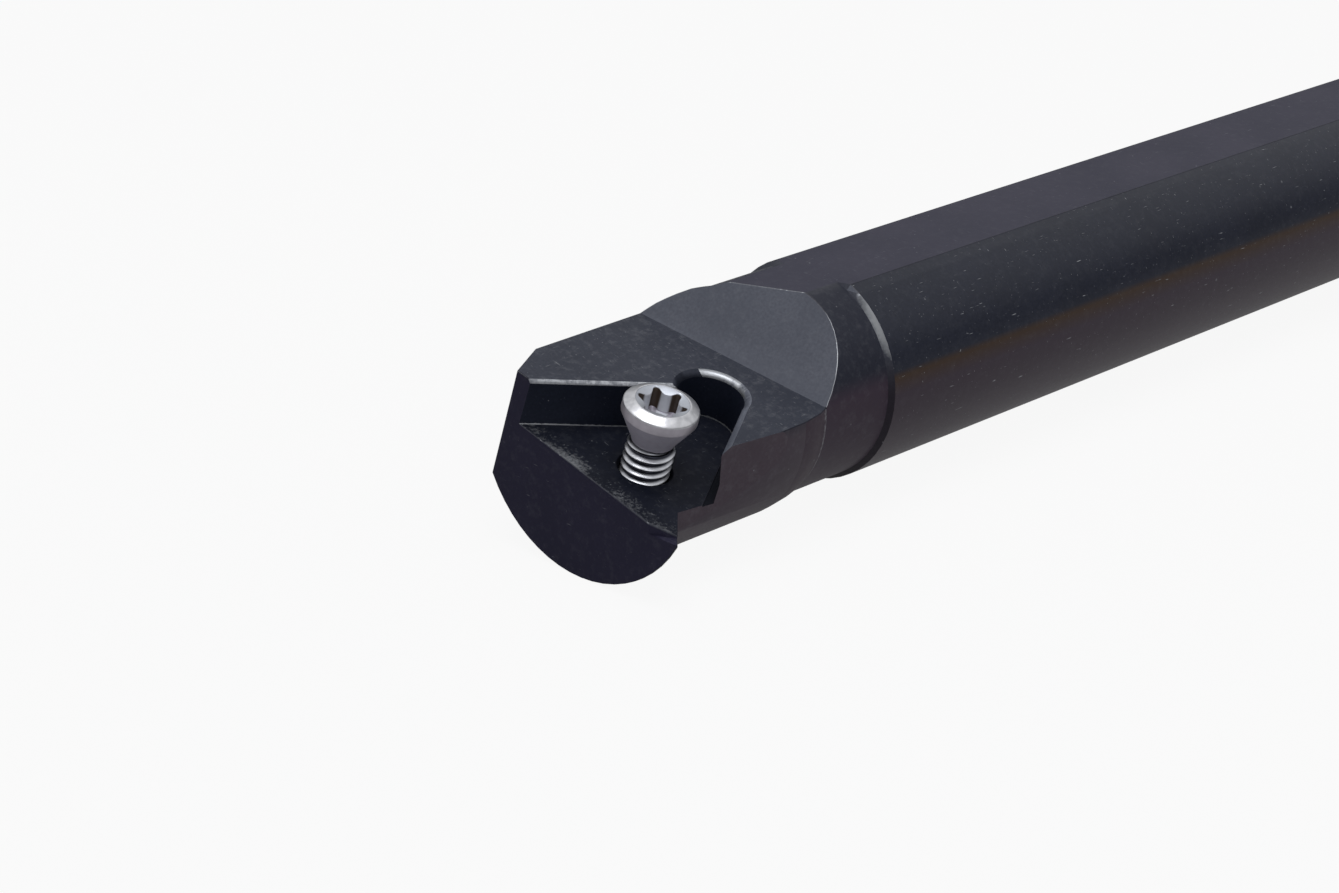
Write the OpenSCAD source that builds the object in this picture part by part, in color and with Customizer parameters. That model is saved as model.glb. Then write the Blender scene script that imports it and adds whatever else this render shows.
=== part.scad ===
// Threading tool holder: a round bar with a clamping flat, a turned neck and a head whose
// tilted seat takes a three-cornered insert, and the screw that clamps the insert.
// X runs along the bar towards its rear end and Z stands on the clamping flat. The origin
// is on the bar's axis, where the shank begins. The cutting side is -Y.

/* [Bar] */
// Overall length of the bar
bar_length = 150; // [120:5:200]
// Diameter of the round shank
shank_d = 16; // [15.6:0.1:17]
// Depth of the clamping flat under the top of the shank
flat_depth = 0.75; // [0.5:0.05:1]
// Chamfer on the rear end
rear_chamfer = 1; // [0.3:0.1:2]

/* [Head] */
// Length from the front face to the start of the shank
head_length = 23.6; // [22:0.1:27]
// Radial step down from the shank to the neck
neck_step = 0.35; // [0.1:0.05:0.5]
// Length of the neck, from the shoulder to the flare
neck_length = 6.95; // [6:0.05:8]
// Length of the flare from the neck out to the head, steeper over its first third
flare_length = 2.65; // [1.5:0.05:3]
// How far the head stands out over the neck
head_rise = 0.45; // [0.2:0.05:0.7]
// How far the nose behind the front face is larger than the head
nose_rise = 1.55; // [1:0.05:1.8]
// Shift of the nose's circle to the cutting side
nose_side = 0.95; // [0.6:0.05:1.2]
// Shift of the nose's circle upwards
nose_lift = 1.05; // [0.6:0.05:1.3]
// Width of the nose's cylindrical rim
nose_rim = 0.15; // [0.05:0.05:0.5]

/* [Insert seat] */
// Tilt of the seat down to the cutting side
seat_tilt = 15; // [10:0.5:18]
// Fall of the seat towards the front, for the thread's helix
seat_helix = 1.5; // [0:0.5:3]
// Distance of the screw's hole from the bar's axis, to the cutting side
seat_side = 2.55; // [2:0.05:3]
// Depth of the seat under the bar's axis at the screw's hole
seat_drop = 1.45; // [1:0.05:2]
// Distance from the front face back to the screw's hole
screw_setback = 4.25; // [3.8:0.05:4.7]
// Inscribed circle of the insert
insert_ic = 9.525; // [9:0.005:9.8]
// Thickness of the insert, and so the depth of the pocket
insert_t = 3.52; // [3:0.02:4]
// Offset of the hole that pulls the insert against its walls
pull_in = 0.06; // [0:0.01:0.15]
// Radius of the round relief behind the pocket's corner
relief_r = 2.33; // [2.1:0.01:2.6]
// Distance of the relief's middle from the pocket's corner, along the rear wall
relief_back = 2.1; // [1.9:0.05:2.6]
// How far the relief cuts into the rear wall
relief_bite = 0.03; // [0.02:0.01:0.08]
// Chamfer on the top edges of the rear wall and the relief
edge_break = 0.4; // [0.3:0.05:0.45]
// Chamfer on the top edge of the front wall
front_break = 0.23; // [0.1:0.01:0.28]
// Width of the groove in the seat along the rear wall
undercut_w = 0.2; // [0.1:0.05:0.5]
// Depth of the groove below the seat
undercut_h = 0.1; // [0.05:0.05:0.4]
// How far the rear wall is set back at its foot
recess_depth = 0.4; // [0.2:0.05:0.5]
// Height over the seat up to which the rear wall is fully set back
recess_low = 1.1; // [0.5:0.1:1.6]
// Height over the seat at which the rear wall's upper band begins, which the insert touches
band_low = 3; // [2.4:0.1:3]
// Distance of the undercut's end from the relief's middle, along the rear wall
undercut_stop = 1; // [0.8:0.1:2]
// Countersink at the mouth of the threaded hole
mouth_chamfer = 0.2; // [0.1:0.05:0.3]

/* [Clearances around the seat] */
// Distance from the screw's hole to the foot of the ramp
ramp_distance = 11.1; // [10.6:0.1:11.6]
// Turn of the ramp's foot about the seat's normal
ramp_turn = 13.5; // [8:0.5:18]
// Slope of the ramp over the head's top face
ramp_slope = 43; // [40:1:60]
// Width of the land between the pocket's front wall and the far bevel
bevel_land = 0.92; // [0.6:0.02:1.1]
// Angle of the far bevel to the bar
bevel_angle = 24; // [18:1:35]
// Depth of the side relief under the head, at its inner corner
side_depth = 1.05; // [0.7:0.05:1.3]
// Angle of the side relief to the bar
side_angle = 6.3; // [5:0.1:9]
// Angle of the side relief's front end to the bar
side_end_angle = 43; // [35:1:60]
// Distance from the front face to the inner corner of the side relief
side_setback = 2.65; // [2.3:0.05:3.2]
// Distance of the tip notch's inner end from the bar's axis
notch_side = 6.9; // [6.5:0.1:7.5]
// Angle of the tip notch to the front face
notch_angle = 21; // [12:1:30]
// Level of the tip notch's ledge under the bar's axis
notch_drop = 3.45; // [3.2:0.05:3.8]

/* [Screw] */
// Diameter over the thread's crests
thread_d = 3.4; // [3.2:0.05:3.6]
// Radial clearance of the thread in its hole
thread_clearance = 0.05; // [0.02:0.01:0.09]
// Overall length of the screw
screw_length = 9; // [8:0.1:10]
// Diameter of the head
screw_head_d = 5.18; // [4.9:0.02:5.3]
// Height of the head's round band
head_band = 0.77; // [0.5:0.01:0.9]
// How far the head's middle stands over its rim
crown_rise = 0.33; // [0.15:0.01:0.45]
// Diameter of the flat land on top of the crown
crown_d = 3.9; // [3.75:0.05:4.3]
// Chamfer round the head's rim
rim_chamfer = 0.08; // [0.04:0.02:0.2]
// Full angle of the cone under the head
cone_angle = 60; // [55:1:70]
// How far the plain neck lies under the thread's crests
neck_relief = 0.25; // [0.15:0.05:0.35]
// Distance from the head's top down to the start of the thread
thread_start = 3.2; // [3.1:0.05:3.5]
// Chamfer on the screw's end
end_chamfer = 0.4; // [0.2:0.05:0.6]
// Height of the head's top over the seat, with the screw backed off
head_stand = 5.45; // [5.2:0.05:6.5]
// Width of the six-lobed socket over its lobes
socket_d = 3.35; // [3.2:0.05:3.6]
// Width of the socket between its lobes
socket_waist = 2.4; // [2.3:0.05:2.5]
// Radius of a lobe's end
lobe_r = 0.27; // [0.22:0.01:0.3]
// Depth of the socket
socket_depth = 1.6; // [1:0.1:2]
// Chamfer at the socket's mouth
socket_chamfer = 0.18; // [0.1:0.01:0.2]

/* [Hidden] */
$fn = 96;

BAR_COLOR = "#34353c";
SCREW_COLOR = "#b4b5b8";

// Round sections of the bar
shank_r = shank_d / 2;
neck_r = shank_r - neck_step;
head_r = neck_r + head_rise;
nose_r = head_r + nose_rise;
flat_z = shank_r - flat_depth;

// Stations along the bar
front_x = -head_length;
rear_x = bar_length - head_length;
flare_x = -neck_length;
head_x = flare_x - flare_length;

// The flare's first part takes this share of its length and of its rise
FLARE_LENGTH_PART = 0.33;
FLARE_RISE_PART = 0.58;

// The nose narrows at 45 degrees until it lies inside the head
nose_cone = nose_r - head_r + norm([nose_side, nose_lift]) + neck_step;

// The pocket holds two sides of the insert, at 60 degrees to each other
POCKET_HALF_ANGLE = 30;
wall_distance = insert_ic / 2 - pull_in;
corner_u = wall_distance / sin(POCKET_HALF_ANGLE);
corner_along = wall_distance / tan(POCKET_HALF_ANGLE);
relief_along = corner_along - relief_back;
relief_center = wall_point(-1, wall_distance - relief_r + relief_bite, relief_along);

// The relief's circle crosses the front wall here, measured from the wall's middle
relief_gap = wall_distance - relief_center * wall_normal(1);
relief_cross = relief_center * wall_run(1) + sqrt(relief_r * relief_r - relief_gap * relief_gap);

// The far bevel meets the front face beside the front wall's chamfer
bevel_v = (wall_distance + front_break + screw_setback * sin(POCKET_HALF_ANGLE))
    / cos(POCKET_HALF_ANGLE) + bevel_land;

// Radii of the screw
thread_r = thread_d / 2;
hole_r = thread_r + thread_clearance;
screw_neck_r = thread_r - neck_relief;
screw_head_r = screw_head_d / 2;
head_h = crown_rise + head_band;
cone_h = (screw_head_r - screw_neck_r) / tan(cone_angle / 2);

// Cuts reach this far past the solid, and overlaps that a cut needs are this deep
REACH = 40;
OVER = 0.01;

// A wall of the pocket, 1 for the front one and -1 for the rear one, in the seat's plane:
// its normal, the way that it runs, and a point off its middle
function wall_normal(side) = [sin(POCKET_HALF_ANGLE), side * cos(POCKET_HALF_ANGLE)];
function wall_run(side) = [-side * cos(POCKET_HALF_ANGLE), sin(POCKET_HALF_ANGLE)];
function wall_point(side, out, along) = out * wall_normal(side) + along * wall_run(side);

// Places its children on the seat: the origin is the hole's mouth, Z is the seat's normal
module on_seat() {
    translate([front_x + screw_setback, -seat_side, -seat_drop])
        rotate([seat_tilt, -seat_helix, 0])
            children();
}

// Places its children at the middle of a wall: X is the wall's normal, Y runs along it
module on_wall(side) {
    rotate([0, 0, side * (90 - POCKET_HALF_ANGLE)])
        translate([wall_distance, 0, 0])
            children();
}

// The bar as it comes off the lathe
module turned_bar() {
    rotate([0, 90, 0])
        rotate_extrude()
            polygon([
                [0, front_x],
                [head_r, front_x],
                [head_r, head_x],
                [neck_r + FLARE_RISE_PART * head_rise, flare_x - FLARE_LENGTH_PART * flare_length],
                [neck_r, flare_x],
                [neck_r, -neck_step],
                [shank_r, 0],
                [shank_r, rear_x - rear_chamfer],
                [shank_r - rear_chamfer, rear_x],
                [0, rear_x]
            ]);
}

// The nose: a larger circle off the bar's axis, with a 45 degree back
module nose() {
    translate([front_x, -nose_side, nose_lift])
        rotate([0, 90, 0])
            rotate_extrude()
                polygon([
                    [0, 0],
                    [nose_r, 0],
                    [nose_r, nose_rim],
                    [nose_r - nose_cone, nose_rim + nose_cone],
                    [0, nose_rim + nose_cone]
                ]);
}

// The clamping flat, from the ramp to the rear end
module flat_cut() {
    translate([front_x - REACH / 2, -REACH / 2, flat_z])
        cube([bar_length + REACH, REACH, REACH]);
}

// The head's top face and the ramp that leads up from it to the flat
module top_cut() {
    rise = REACH * sin(ramp_slope);
    rotate([0, 0, ramp_turn])
        rotate([90, 0, 0])
            linear_extrude(height = REACH, center = true)
                polygon([
                    [-REACH, insert_t],
                    [ramp_distance, insert_t],
                    [ramp_distance + REACH * cos(ramp_slope), insert_t + rise],
                    [-REACH, insert_t + rise]
                ]);
}

// The pocket with its corner relief, as deep as the insert is thick. The relief ends both walls
module pocket_cut() {
    linear_extrude(height = REACH / 2) {
        polygon([
            wall_point(-1, wall_distance, relief_along),
            wall_point(1, wall_distance, relief_cross - edge_break),
            [corner_u - REACH * cos(POCKET_HALF_ANGLE), REACH * sin(POCKET_HALF_ANGLE)],
            [corner_u - REACH * cos(POCKET_HALF_ANGLE), -REACH * sin(POCKET_HALF_ANGLE)]
        ]);
        translate(relief_center)
            circle(r = relief_r);
    }
}

// A 45 degree chamfer along a wall's top edge, between two places on the wall
module wall_chamfer(side, width, from, to) {
    on_wall(side)
        translate([width / 2, (from + to) / 2, insert_t - width / 2])
            rotate([0, -45, 0])
                translate([0, 0, width])
                    cube([3 * width, to - from, 2 * width], center = true);
}

// Chamfers on the pocket's top edges
module pocket_chamfers() {
    wall_chamfer(1, front_break, relief_cross - edge_break, REACH / 2);
    wall_chamfer(-1, edge_break, -REACH / 2, relief_along);
    translate([relief_center[0], relief_center[1], insert_t - 2 * edge_break])
        cylinder(h = 3 * edge_break, r1 = relief_r - edge_break, r2 = relief_r + 2 * edge_break);
}

// The undercut below the rear wall's upper band: the wall leans back and a groove runs at its foot
module undercut() {
    lean = (recess_depth + undercut_w) * (band_low - recess_low) / recess_depth;
    on_wall(-1)
        translate([0, relief_along - undercut_stop, 0])
            rotate([90, 0, 0])
                linear_extrude(height = REACH / 2)
                    polygon([
                        [-undercut_w, -undercut_h],
                        [recess_depth, -undercut_h],
                        [recess_depth, recess_low],
                        [-undercut_w, recess_low + lean]
                    ]);
}

// The threaded hole, right through the head, with its countersunk mouth
module screw_hole() {
    translate([0, 0, -REACH / 2])
        cylinder(h = REACH, r = hole_r);
    translate([0, 0, -2 * mouth_chamfer])
        cylinder(h = 3 * mouth_chamfer, r1 = hole_r - mouth_chamfer, r2 = hole_r + 2 * mouth_chamfer);
}

// The bevel on the far front corner, square to the seat
module far_bevel() {
    translate([-screw_setback, bevel_v, 0])
        rotate([0, 0, bevel_angle])
            translate([-REACH / 2, 0, -REACH / 2])
                cube(REACH);
}

// The milled relief on the cutting side, behind the tip
module side_relief() {
    linear_extrude(height = REACH, center = true)
        translate([front_x + side_setback, side_depth - head_r])
            polygon([
                [0, 0],
                [REACH * cos(side_angle), -REACH * sin(side_angle)],
                [-REACH * cos(side_end_angle), -REACH * sin(side_end_angle)]
            ]);
}

// The small notch that clears the front face under the tip
module tip_notch() {
    translate([front_x, -notch_side, -notch_drop])
        rotate([0, 0, notch_angle])
            translate([-REACH / 4, -REACH / 4, 0])
                cube(REACH / 4);
}

// The holder itself, one piece of steel
module holder_bar() {
    color(BAR_COLOR)
        difference() {
            union() {
                turned_bar();
                nose();
            }
            flat_cut();
            side_relief();
            tip_notch();
            on_seat() {
                top_cut();
                pocket_cut();
                pocket_chamfers();
                undercut();
                screw_hole();
                far_bevel();
            }
        }
}

// Outline of the six-lobed socket: the arcs between the lobes run smoothly into them
module socket_outline() {
    lobe_at = socket_d / 2 - lobe_r;
    waist_r = socket_waist / 2;
    hollow_r = (lobe_r * lobe_r - lobe_at * lobe_at - waist_r * waist_r + 2 * lobe_at * waist_r * cos(30))
        / (2 * (waist_r - lobe_at * cos(30) - lobe_r));
    difference() {
        union() {
            circle(r = lobe_at, $fn = 6);
            for (i = [0 : 5])
                rotate(60 * i)
                    translate([lobe_at, 0])
                        circle(r = lobe_r, $fn = 32);
        }
        for (i = [0 : 5])
            rotate(60 * i + 30)
                translate([waist_r + hollow_r, 0])
                    circle(r = hollow_r, $fn = 48);
    }
}

// The clamping screw, backed off as it stands without an insert
module insert_screw() {
    color(SCREW_COLOR)
        on_seat()
            translate([0, 0, head_stand])
                difference() {
                    rotate_extrude()
                        polygon([
                            [0, 0],
                            [crown_d / 2, 0],
                            [screw_head_r - rim_chamfer, -crown_rise],
                            [screw_head_r, -crown_rise - rim_chamfer],
                            [screw_head_r, -head_h],
                            [screw_neck_r, -head_h - cone_h],
                            [screw_neck_r, -thread_start],
                            [thread_r, -thread_start - neck_relief],
                            [thread_r, -screw_length + end_chamfer],
                            [thread_r - end_chamfer, -screw_length],
                            [0, -screw_length]
                        ]);
                    translate([0, 0, -socket_depth])
                        linear_extrude(height = socket_depth + OVER)
                            socket_outline();
                    translate([0, 0, -socket_chamfer])
                        cylinder(h = socket_chamfer + OVER, r1 = socket_waist / 2 + socket_chamfer,
                            r2 = socket_d / 2 + socket_chamfer);
                }
}

holder_bar();
insert_screw();
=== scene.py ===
"""Looks of a threading tool holder: a blackened steel bar with a milled insert seat, and its screw.

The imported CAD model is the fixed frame. Sizes in the classes are millimetres, as on the part's
drawing, and every finished mesh is in metres, in the part's own frame.
"""
from __future__ import annotations

import logging
import math
from dataclasses import dataclass
from dataclasses import field
from enum import Enum
from typing import Callable
from typing import ClassVar

import bmesh
import bpy
from mathutils import Matrix
from mathutils import Vector


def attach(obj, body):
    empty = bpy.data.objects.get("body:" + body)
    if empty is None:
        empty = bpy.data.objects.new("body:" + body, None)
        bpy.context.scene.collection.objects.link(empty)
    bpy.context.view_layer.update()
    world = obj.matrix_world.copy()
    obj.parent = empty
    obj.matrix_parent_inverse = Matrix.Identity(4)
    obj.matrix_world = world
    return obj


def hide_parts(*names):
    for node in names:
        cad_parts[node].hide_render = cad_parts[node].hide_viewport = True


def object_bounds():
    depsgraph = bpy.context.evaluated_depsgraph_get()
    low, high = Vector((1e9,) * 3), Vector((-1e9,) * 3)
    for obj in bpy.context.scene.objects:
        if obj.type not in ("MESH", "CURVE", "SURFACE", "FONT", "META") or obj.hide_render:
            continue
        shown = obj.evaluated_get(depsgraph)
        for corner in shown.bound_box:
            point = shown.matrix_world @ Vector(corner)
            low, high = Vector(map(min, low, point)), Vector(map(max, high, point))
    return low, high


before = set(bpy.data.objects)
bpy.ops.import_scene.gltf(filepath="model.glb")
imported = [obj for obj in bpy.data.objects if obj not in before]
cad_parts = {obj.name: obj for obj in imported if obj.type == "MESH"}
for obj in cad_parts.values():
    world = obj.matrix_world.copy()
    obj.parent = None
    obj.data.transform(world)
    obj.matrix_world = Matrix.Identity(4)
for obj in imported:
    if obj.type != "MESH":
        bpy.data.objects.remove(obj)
cad_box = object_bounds()

LOG = logging.getLogger("holder")
MM = 0.001
PER_METRE = (1000.0, 1000.0, 1000.0)
WHITE = (1.0, 1.0, 1.0, 1.0)
PHOTO_WIDTH = 1339
SENSOR_WIDTH = 36.0

# Cosine past which two directions count as the same
SAME_WAY = 0.999
# Distance in mm within which a face lies in a given plane
SAME_PLANE = 0.02


def linear(hex_text: str) -> tuple[float, float, float, float]:
    """Turns an sRGB hex colour into linear values.

    Args:
        hex_text: The colour as "#rrggbb".

    Returns:
        Red, green, blue and a full alpha, linear.
    """
    parts = [int(hex_text[i:i + 2], 16) / 255 for i in (1, 3, 5)]
    values = [p / 12.92 if p <= 0.04045 else ((p + 0.055) / 1.055) ** 2.4 for p in parts]
    return (values[0], values[1], values[2], 1.0)


def add_node(
    tree: bpy.types.NodeTree, kind: str, inputs: dict | None = None, **settings: object
) -> bpy.types.Node:
    """Adds a node with its settings, values and links.

    Args:
        tree: The node tree that it joins.
        kind: The node's type name.
        inputs: Input names or numbers, each with a value or with the socket that feeds it.
        settings: Properties of the node itself.

    Returns:
        The new node.
    """
    node = tree.nodes.new(kind)
    for name, value in settings.items():
        setattr(node, name, value)
    for key, value in (inputs or {}).items():
        if isinstance(value, bpy.types.NodeSocket):
            tree.links.new(value, node.inputs[key])
        else:
            node.inputs[key].default_value = value
    return node


def empty_material(name: str) -> tuple[bpy.types.Material, bpy.types.NodeTree]:
    """Makes a material without nodes, and returns it with its node tree."""
    material = bpy.data.materials.new(name)
    material.use_nodes = True
    material.node_tree.nodes.clear()
    return material, material.node_tree


def add_piece(bm: bmesh.types.BMesh, name: str, sharp: float) -> bpy.types.Object:
    """Turns a finished bmesh into an object of the scene.

    Args:
        bm: The bmesh, in metres, which is freed.
        name: The name of the object and of its mesh.
        sharp: The angle in degrees past which an edge is shaded sharp.

    Returns:
        The object.
    """
    mesh = bpy.data.meshes.new(name)
    bm.to_mesh(mesh)
    bm.free()
    mesh.set_sharp_from_angle(angle=math.radians(sharp))
    piece = bpy.data.objects.new(name, mesh)
    bpy.context.scene.collection.objects.link(piece)
    return piece


@dataclass(frozen=True)
class SeatFrame:
    """The tilted frame of the insert seat, with its origin at the mouth of the screw's hole."""

    origin: tuple[float, float, float] = (-19.35, -2.55, -1.45)
    tilt: float = 15.0
    helix: float = 1.5

    def matrix(self) -> Matrix:
        """The seat's place in the part's frame, in millimetres."""
        turn = Matrix.Rotation(math.radians(-self.helix), 4, "Y")
        lean = Matrix.Rotation(math.radians(self.tilt), 4, "X")
        return Matrix.Translation(self.origin) @ turn @ lean

    def local(self, point: Vector) -> Vector:
        """A point of the part, in millimetres, seen from the seat."""
        return self.matrix().inverted() @ point

    def direction(self, vector: Vector) -> Vector:
        """A direction of the part seen from the seat."""
        return self.matrix().to_3x3().transposed() @ vector

    def axis(self, number: int) -> Vector:
        """One of the seat's three axes in the part's frame."""
        return self.matrix().to_3x3().col[number].copy()


class Surface(Enum):
    """The surfaces of the bar, named for what cut them."""

    SHANK = "shank"
    NECK = "neck"
    FLARE = "flare"
    HEAD = "head"
    FLAT = "flat"
    RAMP = "ramp"
    TOP = "top"
    SEAT = "seat"
    WALL = "wall"
    HOLE = "hole"
    CHAMFER = "chamfer"
    BREAK = "break"
    DULL_BREAK = "dull_break"
    SHOULDER = "shoulder"
    FRONT = "front"
    RELIEF = "relief"
    REAR = "rear"
    BRIGHT_EDGE = "bright_edge"
    ARC_EDGE = "arc_edge"
    FAINT_EDGE = "faint_edge"
    SCUFFED_EDGE = "scuffed_edge"


@dataclass(frozen=True)
class OxideFinish:
    """Hot black oxide on alloy steel: a thin blue-black magnetite layer, matt where it was milled.

    The colours are what the eye sees, from the darker to the paler patches, and low_side is what
    they turn to low on the bar: on the turned sides a painted reflection of light from below, on the
    shoulder painted shade. Worn is how much bare grey steel shows all over, and a scuff adds to it
    within a set width of a plane; on the shoulder that scuff is a painted highlight, and round the
    relief's chamfers a painted highlight over real wear. Lengths are in mm, and mark_um is the depth
    of the cutter's marks in thousandths of one. Real marks and grain are finer than the render can
    show, so both are drawn a few times coarser.
    """

    name: str
    colour: str
    pale: str
    # The colour low on the bar: painted reflection of light from below on the turned sides, painted
    # shade on the shoulder
    low_side: str | None = None
    low_rim: str | None = None
    low_from: float = 3.4
    low_to: float = 0.2
    roughness: float = 0.55
    gloss: float = 0.12
    patch_mm: float = 6.0
    mark_axis: tuple[float, float, float] = (1.0, 0.0, 0.0)
    mark_mm: float = 0.12
    mark_um: float = 1.0
    specks: float = 0.3
    speck_mm: float = 0.6
    smudges: float = 0.0
    scratches: float = 0.0
    worn: float = 0.0
    worn_mm: float = 0.5
    worn_most: float = 0.85
    worn_soft: float = 0.12
    # A scuff near a plane; on the shoulder it paints a highlight, and round the relief's chamfers a
    # highlight over wear
    scuff_and_highlight_axis: tuple[float, float, float] | None = None
    scuff_and_highlight_at: float = 0.0
    scuff_and_highlight_width: float = 1.0
    scuff_and_highlight_gain: float = 0.3
    scuff_and_highlight_least: float = 0.4

    STEEL: ClassVar[str] = "#a3a6ab"
    DULLED: ClassVar[str] = "#8b8d93"
    GRAIN_MM: ClassVar[float] = 0.2
    RIM_MM: ClassVar[float] = 1.2
    SMUDGE_MM: ClassVar[float] = 2 / 3
    ROUGH_SPREAD: ClassVar[float] = 0.06
    BARE_FROM: ClassVar[float] = 0.82
    FRAYING: ClassVar[float] = 0.16
    SPECK_SIZE: ClassVar[float] = 0.16
    SPECK_SOFT: ClassVar[float] = 0.1
    SPECK_SHARE: ClassVar[float] = 0.6

    # The turn of each set of scratches in radians, and how its pattern is squeezed along three axes
    SCRATCH_SETS: ClassVar[tuple] = (
        ((0.3, 0.5, 0.7), (0.9, 14.0, 4.0)),
        ((0.9, 0.2, -0.8), (12.0, 1.1, 5.0)),
    )

    def build(self) -> bpy.types.Material:
        """Makes the finish as a material.

        Returns:
            The material, which reads Object coordinates alone.
        """
        material, tree = empty_material(self.name)
        place = add_node(tree, "ShaderNodeTexCoord").outputs["Object"]
        in_mm = add_node(
            tree, "ShaderNodeVectorMath", {0: place, 1: PER_METRE}, operation="MULTIPLY"
        ).outputs[0]
        patches = add_node(
            tree, "ShaderNodeTexNoise", {"Vector": in_mm, "Scale": 1 / self.patch_mm, "Detail": 3.0}
        ).outputs["Fac"]
        grain = add_node(
            tree, "ShaderNodeTexNoise", {"Vector": in_mm, "Scale": 1 / self.GRAIN_MM, "Detail": 2.0}
        ).outputs["Fac"]
        # Bare steel where the oxide wears; on the shoulder this share is a painted highlight
        bare = self.bare(tree, in_mm, grain, patches)
        colour = linear(self.colour)
        for share, tone in self.layers(tree, in_mm, grain, patches) + [(bare, linear(self.STEEL))]:
            colour = add_node(
                tree, "ShaderNodeMix", {0: share, 6: colour, 7: tone}, data_type="RGBA"
            ).outputs[2]
        rough = add_node(
            tree, "ShaderNodeMapRange",
            {"Value": grain, "To Min": self.roughness - self.ROUGH_SPREAD,
             "To Max": self.roughness + self.ROUGH_SPREAD},
        ).outputs["Result"]
        bump = self.marks(tree, in_mm, grain)
        shader = add_node(
            tree, "ShaderNodeBsdfPrincipled",
            {"Base Color": colour, "Metallic": bare, "Roughness": rough, "Normal": bump,
             "Specular IOR Level": self.gloss},
        )
        add_node(tree, "ShaderNodeOutputMaterial", {"Surface": shader.outputs[0]})
        return material

    def layers(
        self,
        tree: bpy.types.NodeTree,
        in_mm: bpy.types.NodeSocket,
        grain: bpy.types.NodeSocket,
        patches: bpy.types.NodeSocket,
    ) -> list[tuple[bpy.types.NodeSocket, object]]:
        """What lies over the oxide's darker colour, from the lowest layer up.

        Args:
            tree: The material's node tree.
            in_mm: Coordinates in millimetres.
            grain: The fine grain.
            patches: The wide patches.

        Returns:
            The share of each layer, with its colour as a value or a socket.
        """
        blotch = add_node(
            tree, "ShaderNodeMath", {0: patches, 1: grain}, operation="MULTIPLY"
        ).outputs[0]
        share = add_node(
            tree, "ShaderNodeMapRange", {"Value": blotch, "From Min": 0.14, "From Max": 0.38}
        ).outputs["Result"]
        found = [(share, linear(self.pale))]
        if self.low_side:
            found.append(self.low_cast(tree, in_mm))
        if self.smudges:
            found.append((self.smudged(tree, in_mm), linear(self.DULLED)))
        if self.scratches:
            found.append((self.scratched(tree, in_mm), linear(self.STEEL)))
        found.append((self.flecks(tree, in_mm), linear(self.DULLED)))
        return found

    def low_cast(
        self, tree: bpy.types.NodeTree, in_mm: bpy.types.NodeSocket
    ) -> tuple[bpy.types.NodeSocket, object]:
        """What the colour turns to low on the bar, with a rim of another colour at its top.

        On the turned sides it is a painted reflection of light from below, and on the shoulder painted
        shade.

        Args:
            tree: The material's node tree.
            in_mm: Coordinates in millimetres.

        Returns:
            The share of the low colour, and that colour as a value or a socket.
        """
        height = add_node(tree, "ShaderNodeSeparateXYZ", {0: in_mm}).outputs["Z"]
        share = add_node(
            tree, "ShaderNodeMapRange",
            {"Value": height, "From Min": self.low_from, "From Max": self.low_to},
            interpolation_type="SMOOTHSTEP",
        ).outputs["Result"]
        if not self.low_rim:
            return share, linear(self.low_side)
        rim = add_node(
            tree, "ShaderNodeMapRange",
            {"Value": height, "From Min": self.low_to - self.RIM_MM, "From Max": self.low_to},
        ).outputs["Result"]
        tone = add_node(
            tree, "ShaderNodeMix", {0: rim, 6: linear(self.low_side), 7: linear(self.low_rim)},
            data_type="RGBA",
        ).outputs[2]
        return share, tone

    def smudged(self, tree: bpy.types.NodeTree, in_mm: bpy.types.NodeSocket) -> bpy.types.NodeSocket:
        """Soft paler smudges of a few tenths, where chips and fingers have dulled the oxide.

        Args:
            tree: The material's node tree.
            in_mm: Coordinates in millimetres.

        Returns:
            The share of the dulled colour.
        """
        cloud = add_node(
            tree, "ShaderNodeTexNoise",
            {"Vector": in_mm, "Scale": 1 / self.SMUDGE_MM, "Detail": 4.0, "Roughness": 0.7},
        ).outputs["Fac"]
        return add_node(
            tree, "ShaderNodeMapRange",
            {"Value": cloud, "From Min": 0.5, "From Max": 0.8, "To Max": self.smudges},
        ).outputs["Result"]

    def scratched(self, tree: bpy.types.NodeTree, in_mm: bpy.types.NodeSocket) -> bpy.types.NodeSocket:
        """Sparse short scratches in two directions.

        Args:
            tree: The material's node tree.
            in_mm: Coordinates in millimetres.

        Returns:
            The share of bare steel in the scratches.
        """
        found = []
        for turn, squeeze in self.SCRATCH_SETS:
            turned = add_node(
                tree, "ShaderNodeMapping", {"Vector": in_mm, "Rotation": turn, "Scale": squeeze}
            ).outputs[0]
            line = add_node(
                tree, "ShaderNodeTexNoise", {"Vector": turned, "Scale": 1.0, "Detail": 1.0}
            ).outputs["Fac"]
            found.append(line)
        deepest = add_node(
            tree, "ShaderNodeMath", {0: found[0], 1: found[1]}, operation="MAXIMUM"
        ).outputs[0]
        return add_node(
            tree, "ShaderNodeMapRange",
            {"Value": deepest, "From Min": 0.74, "From Max": 0.84, "To Max": self.scratches},
        ).outputs["Result"]

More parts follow.
